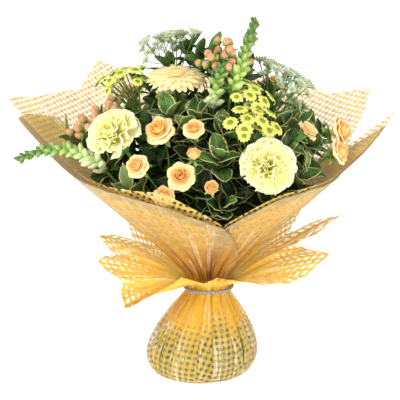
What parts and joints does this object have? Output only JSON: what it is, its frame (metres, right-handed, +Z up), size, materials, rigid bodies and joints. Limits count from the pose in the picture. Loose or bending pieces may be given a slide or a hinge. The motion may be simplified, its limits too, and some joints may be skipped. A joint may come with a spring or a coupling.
{
  "type": "mixed flower bouquet",
  "caption": "Hand-tied bouquet of mixed garden flowers and foliage in a flared printed film wrap, standing on its own water bag.",
  "frame": {"origin": "middle of the flat base of the water bag", "axes": "+Z up, +X to the viewer's right, -Y towards the viewer, the side the bouquet faces"},
  "size_m": [0.5341, 0.3694, 0.4955],
  "materials": {
    "printed_film": "clear glossy film printed with yellow checks",
    "fibre_tissue": "beige fibrous tissue, translucent",
    "grey_cord": "twisted grey cord",
    "twine": "binding twine",
    "water": "clear water",
    "green_stem": "fresh green stem, satin",
    "lemon_petal": "pale lemon petals, matt",
    "apricot_petal": "apricot petals, matt",
    "gerbera_petal": "soft peach petals, satin",
    "gerbera_disc": "golden disc, rough",
    "rose_petal": "cream-peach petals, satin",
    "lime_daisy": "lime-yellow petals round a green disc",
    "coral_berry": "salmon berries fading to yellow-green, glossy",
    "astrantia_head": "greenish white bracts, dry",
    "green_bud": "fresh green buds and pale florets",
    "variegated_leaf": "glossy green leaves with cream edges",
    "dark_leaf": "dark green glossy leaves"
  },
  "bodies": {
    "root": {"astrantia_back": "astrantia_head", "astrantia_left": "astrantia_head", "astrantia_right": "astrantia_head", "berries_back": "coral_berry", "berries_left": "coral_berry", "berries_top": "coral_berry", "carnation_back_bloom": "lemon_petal", "carnation_back_stem": "green_stem", "carnation_left_bloom": "lemon_petal", "carnation_left_stem": "green_stem", "carnation_right_bloom": "lemon_petal", "carnation_right_stem": "green_stem", "daisies_back": "lime_daisy", "daisies_left": "lime_daisy", "daisies_lower": "lime_daisy", "daisies_right": "lime_daisy", "film_wrap": "printed_film", "gerbera_bloom": "gerbera_petal", "gerbera_eye": "gerbera_disc", "gerbera_stem": "green_stem", "leaves_back_left": "variegated_leaf", "leaves_back_right": "variegated_leaf", "leaves_far_left": "variegated_leaf", "leaves_front": "variegated_leaf", "leaves_lower_left": "variegated_leaf", "leaves_lower_right": "variegated_leaf", "leaves_upper": "variegated_leaf", "leaves_upper_right": "variegated_leaf", "mini_carnation_bloom": "apricot_petal", "mini_carnation_stem": "green_stem", "neck_tie": "grey_cord", "rose_back": "rose_petal", "rose_back_left": "rose_petal", "rose_back_top": "rose_petal", "rose_centre": "rose_petal", "rose_large": "rose_petal", "rose_left": "rose_petal", "rose_low": "rose_petal", "rose_opening": "rose_petal", "rose_side": "rose_petal", "rose_side_low": "rose_petal", "rose_small": "rose_petal", "rose_spray_back_stem": "green_stem", "rose_spray_front_stem": "green_stem", "rose_spray_left_stem": "green_stem", "rose_spray_right_stem": "green_stem", "rose_upper": "rose_petal", "ruscus_back": "dark_leaf", "ruscus_left": "dark_leaf", "ruscus_middle": "dark_leaf", "snapdragon_left": "green_bud", "snapdragon_middle": "green_bud", "snapdragon_top": "green_bud", "stem_binding": "twine", "tissue_left": "fibre_tissue", "tissue_right": "fibre_tissue", "water": "water", "water_bag": "printed_film"}
  },
  "joints": []
}
